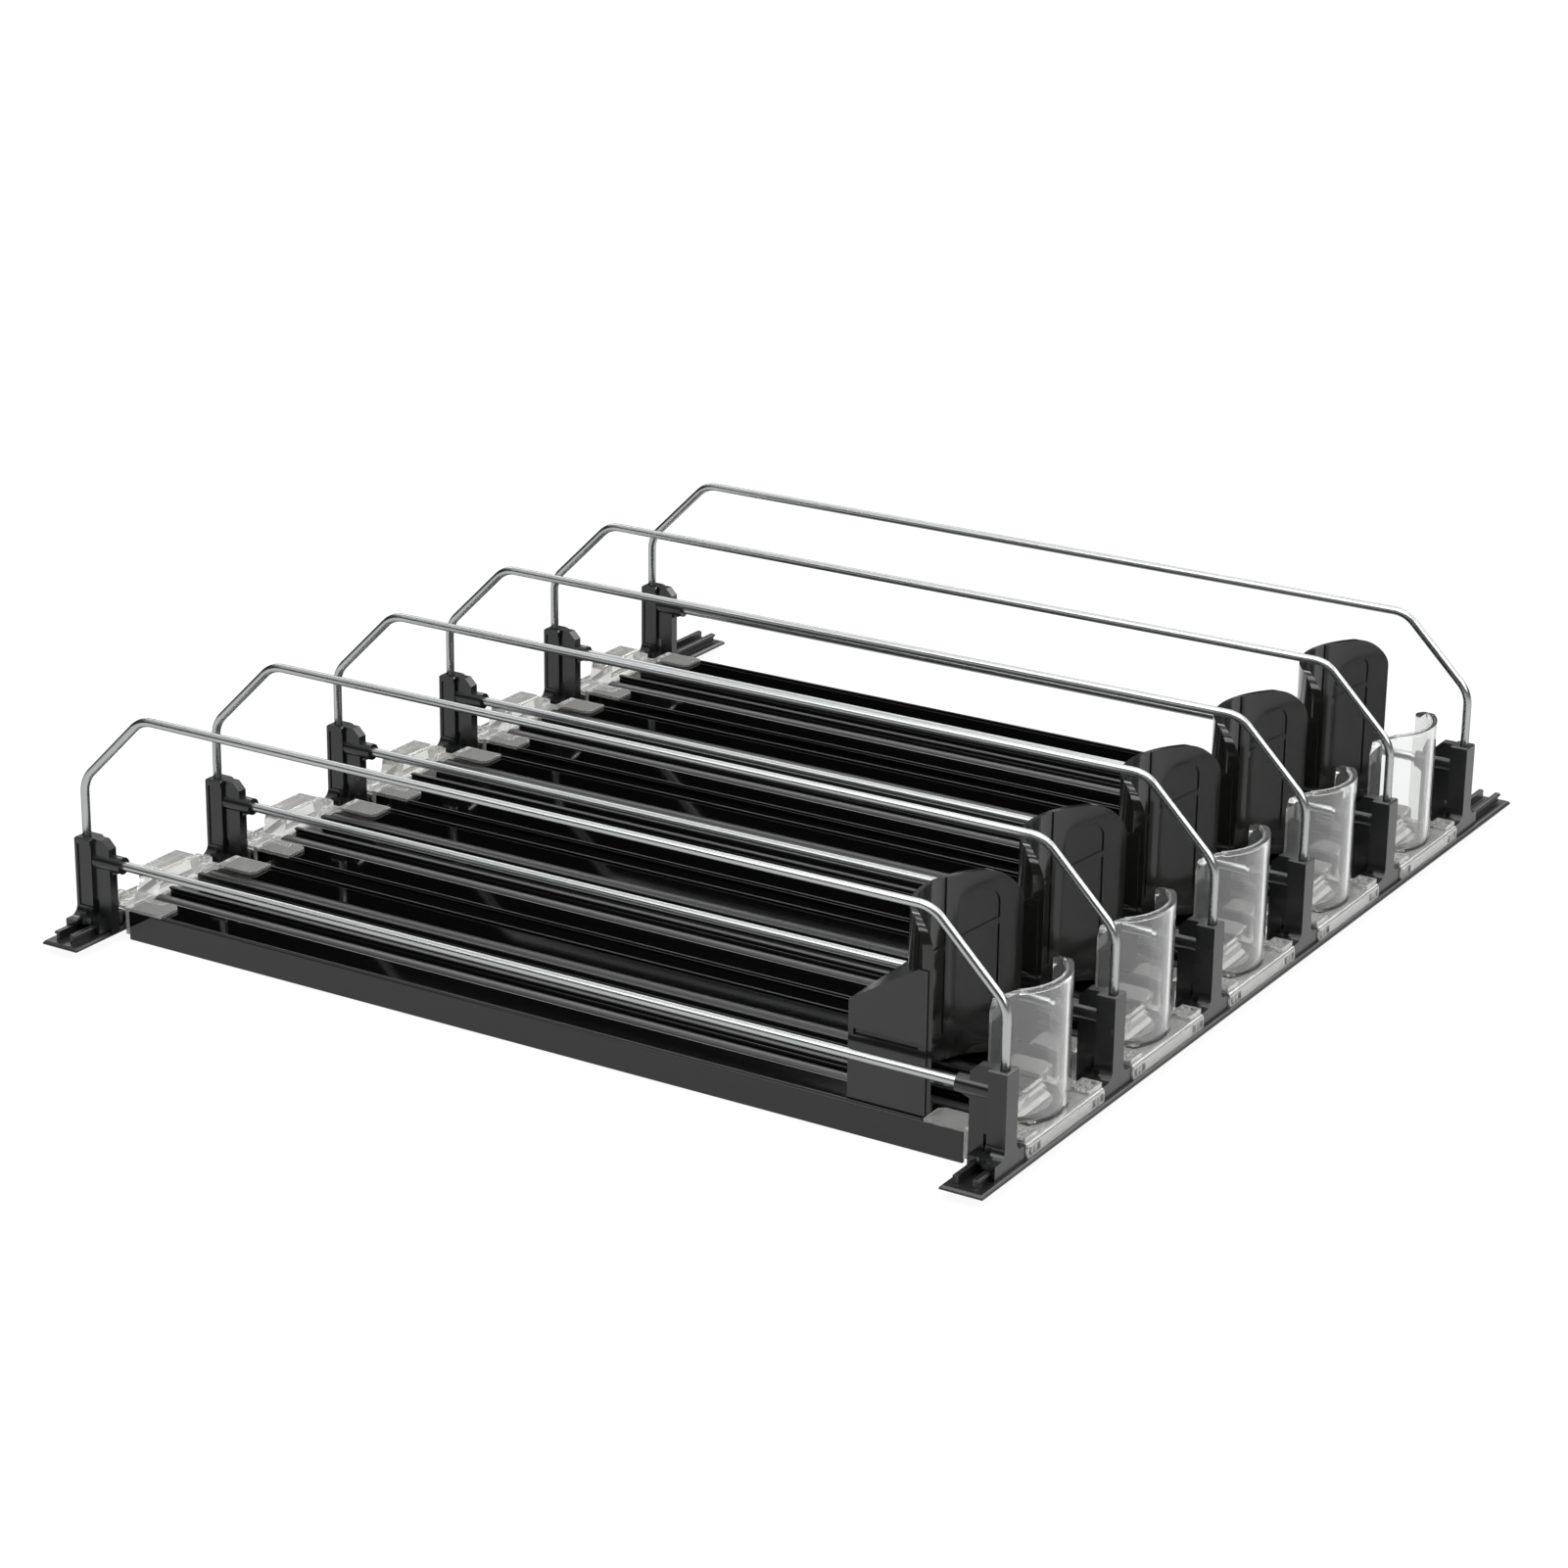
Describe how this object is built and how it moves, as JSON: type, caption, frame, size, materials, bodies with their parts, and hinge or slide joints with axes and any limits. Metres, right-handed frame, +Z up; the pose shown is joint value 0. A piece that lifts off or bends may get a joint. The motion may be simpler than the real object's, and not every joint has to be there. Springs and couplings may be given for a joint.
{
  "type": "fridge can organizer",
  "caption": "Shelf organizer for drink cans: spring-fed lanes between wire dividers that clip onto a front and a rear rail, each lane with a sliding pusher and a curved front stop.",
  "frame": {"origin": "on the shelf, under the middle of the organizer's outline", "axes": "+X along the rails to the right, +Y from the front stops to the rear caps, +Z up"},
  "size_m": [0.435, 0.3894, 0.0906],
  "materials": {
    "rail_plastic": "satin black moulded strip",
    "bracket_plastic": "satin black moulding",
    "track_plastic": "polished black extrusion",
    "pusher_plastic": "polished black moulding",
    "clear_plastic": "clear moulding",
    "milky_plastic": "milky see-through moulding",
    "bright_wire": "bright plated wire",
    "spring_steel": "bare rolled spring strip"
  },
  "bodies": {
    "root": {"front_rail": "rail_plastic", "rear_rail": "rail_plastic", "front_bracket_1": "bracket_plastic", "rear_bracket_1": "bracket_plastic", "divider_hoop_1": "bright_wire", "lower_rod_1": "bright_wire", "front_bracket_2": "bracket_plastic", "rear_bracket_2": "bracket_plastic", "divider_hoop_2": "bright_wire", "lower_rod_2": "bright_wire", "front_bracket_3": "bracket_plastic", "rear_bracket_3": "bracket_plastic", "divider_hoop_3": "bright_wire", "lower_rod_3": "bright_wire", "front_bracket_4": "bracket_plastic", "rear_bracket_4": "bracket_plastic", "divider_hoop_4": "bright_wire", "lower_rod_4": "bright_wire", "front_bracket_5": "bracket_plastic", "rear_bracket_5": "bracket_plastic", "divider_hoop_5": "bright_wire", "lower_rod_5": "bright_wire", "front_bracket_6": "bracket_plastic", "rear_bracket_6": "bracket_plastic", "divider_hoop_6": "bright_wire", "lower_rod_6": "bright_wire", "track_1": "track_plastic", "front_cap_1": "clear_plastic", "rear_cap_1": "clear_plastic", "front_stop_1": "milky_plastic", "track_2": "track_plastic", "front_cap_2": "clear_plastic", "rear_cap_2": "clear_plastic", "front_stop_2": "milky_plastic", "track_3": "track_plastic", "front_cap_3": "clear_plastic", "rear_cap_3": "clear_plastic", "front_stop_3": "milky_plastic", "track_4": "track_plastic", "front_cap_4": "clear_plastic", "rear_cap_4": "clear_plastic", "front_stop_4": "milky_plastic", "track_5": "track_plastic", "front_cap_5": "clear_plastic", "rear_cap_5": "clear_plastic", "front_stop_5": "milky_plastic"},
    "pusher_unit_1": {"pusher_1": "pusher_plastic", "spring_1": "spring_steel"},
    "pusher_unit_2": {"pusher_2": "pusher_plastic", "spring_2": "spring_steel"},
    "pusher_unit_3": {"pusher_3": "pusher_plastic", "spring_3": "spring_steel"},
    "pusher_unit_4": {"pusher_4": "pusher_plastic", "spring_4": "spring_steel"},
    "pusher_unit_5": {"pusher_5": "pusher_plastic", "spring_5": "spring_steel"}
  },
  "joints": [
    {"name": "pusher_slide_1", "type": "slide", "parent": "root", "child": "pusher_unit_1", "axis": [0, 1, 0], "range_m": [0, 0.2885], "stiffness_N_per_m": 1.7, "springref_m": -1.5, "deforming": ["spring_1"]},
    {"name": "pusher_slide_2", "type": "slide", "parent": "root", "child": "pusher_unit_2", "axis": [0, 1, 0], "range_m": [0, 0.2885], "stiffness_N_per_m": 1.7, "springref_m": -1.5, "deforming": ["spring_2"]},
    {"name": "pusher_slide_3", "type": "slide", "parent": "root", "child": "pusher_unit_3", "axis": [0, 1, 0], "range_m": [0, 0.2885], "stiffness_N_per_m": 1.7, "springref_m": -1.5, "deforming": ["spring_3"]},
    {"name": "pusher_slide_4", "type": "slide", "parent": "root", "child": "pusher_unit_4", "axis": [0, 1, 0], "range_m": [0, 0.2885], "stiffness_N_per_m": 1.7, "springref_m": -1.5, "deforming": ["spring_4"]},
    {"name": "pusher_slide_5", "type": "slide", "parent": "root", "child": "pusher_unit_5", "axis": [0, 1, 0], "range_m": [0, 0.2885], "stiffness_N_per_m": 1.7, "springref_m": -1.5, "deforming": ["spring_5"]}
  ]
}
